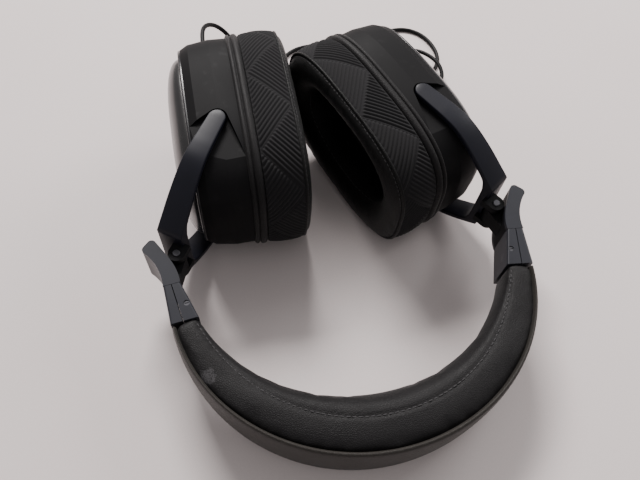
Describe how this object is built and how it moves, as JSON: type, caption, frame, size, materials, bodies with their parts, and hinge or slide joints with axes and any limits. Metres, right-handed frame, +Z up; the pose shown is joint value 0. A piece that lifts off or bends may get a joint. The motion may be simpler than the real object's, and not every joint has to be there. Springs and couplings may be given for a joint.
{
  "type": "headset",
  "caption": "Closed-back headset lying on its side: padded headband, sliding ends, folding forked yokes, tilting oval ear cups with soft cushions, and a cable with a round plug.",
  "frame": {"origin": "on the table under the middle of the headset's bounding box, cable left out", "axes": "+Z up from the table it lies on, +Y from the headband's crown to the ear cups, +X to the cup without a cable"},
  "size_m": [0.2011, 0.3001, 0.0828],
  "materials": {
    "band_leather": "fine grain",
    "board": "board green",
    "brass": "plated",
    "cable_skin": "smooth",
    "cap_plastic": "satin slate",
    "dark_plastic": "matte",
    "diaphragm": "film",
    "ear_leather": "soft matte",
    "gloss_cover": "gloss",
    "gloss_trim": "gloss",
    "magnet": "plain",
    "mesh_cloth": "knit",
    "pad_leather": "soft matte grain",
    "rubber": "moulded",
    "shell_plastic": "fine texture",
    "steel": "satin",
    "tie": "woven",
    "yoke_plastic": "satin blue-black"
  },
  "bodies": {
    "headband": {"end_cap_inner_left": "cap_plastic", "end_cap_inner_right": "cap_plastic", "end_cap_outer_left": "cap_plastic", "end_cap_outer_right": "cap_plastic", "end_cap_screws_left": "steel", "end_cap_screws_right": "steel", "headband_cover": "band_leather", "headband_pad": "pad_leather", "headband_spring": "steel", "slider_guide_left": "dark_plastic", "slider_guide_right": "dark_plastic"},
    "slider_left": {"fold_pin_left": "steel", "hinge_housing_left": "cap_plastic", "hinge_liner_left": "dark_plastic", "hinge_lug_left": "dark_plastic", "slider_strip_left": "steel"},
    "yoke_left": {"knuckle_left": "dark_plastic", "pivot_screws_left": "steel", "yoke_left": "yoke_plastic"},
    "cup_left": {"baffle_left": "dark_plastic", "baffle_screws_left": "steel", "cup_shell_left": "shell_plastic", "cushion_rim_left": "pad_leather", "driver_diaphragm_left": "diaphragm", "driver_frame_left": "dark_plastic", "driver_magnet_left": "magnet", "driver_mesh_left": "mesh_cloth", "ear_pad_left": "ear_leather", "outer_cover_left": "gloss_cover", "pivot_bushes_left": "dark_plastic", "trim_ring_left": "gloss_trim", "cable": "cable_skin", "cable_coil": "cable_skin", "cable_tie": "tie", "circuit_board": "board", "plug_body": "rubber", "plug_contact": "brass", "strain_relief": "rubber"},
    "slider_right": {"fold_pin_right": "steel", "hinge_housing_right": "cap_plastic", "hinge_liner_right": "dark_plastic", "hinge_lug_right": "dark_plastic", "slider_strip_right": "steel"},
    "yoke_right": {"knuckle_right": "dark_plastic", "pivot_screws_right": "steel", "yoke_right": "yoke_plastic"},
    "cup_right": {"baffle_right": "dark_plastic", "baffle_screws_right": "steel", "cup_shell_right": "shell_plastic", "cushion_rim_right": "pad_leather", "driver_diaphragm_right": "diaphragm", "driver_frame_right": "dark_plastic", "driver_magnet_right": "magnet", "driver_mesh_right": "mesh_cloth", "ear_pad_right": "ear_leather", "outer_cover_right": "gloss_cover", "pivot_bushes_right": "dark_plastic", "trim_ring_right": "gloss_trim"}
  },
  "joints": [
    {"name": "left_slider", "type": "slide", "parent": "headband", "child": "slider_left", "axis": [-0.1564, 0.9776, 0.1409], "range_m": [0, 0.025]},
    {"name": "right_slider", "type": "slide", "parent": "headband", "child": "slider_right", "axis": [0.1564, 0.9776, 0.1409], "range_m": [0, 0.025]},
    {"name": "left_fold", "type": "hinge", "parent": "slider_left", "child": "yoke_left", "pos_m": [-0.079, -0.00537, 0.03301], "axis": [0, -0.1426, 0.9898], "range_deg": [-1.5, 17]},
    {"name": "left_tilt", "type": "hinge", "parent": "yoke_left", "child": "cup_left", "pos_m": [-0.05086, 0.04756, 0.04064], "axis": [0, -0.1426, 0.9898], "range_deg": [-2, 7]},
    {"name": "right_fold", "type": "hinge", "parent": "slider_right", "child": "yoke_right", "pos_m": [0.079, -0.00537, 0.03301], "axis": [0, -0.1426, 0.9898], "range_deg": [-17, 1.5]},
    {"name": "right_tilt", "type": "hinge", "parent": "yoke_right", "child": "cup_right", "pos_m": [0.05086, 0.04756, 0.04064], "axis": [0, -0.1426, 0.9898], "range_deg": [-22, 2]}
  ]
}
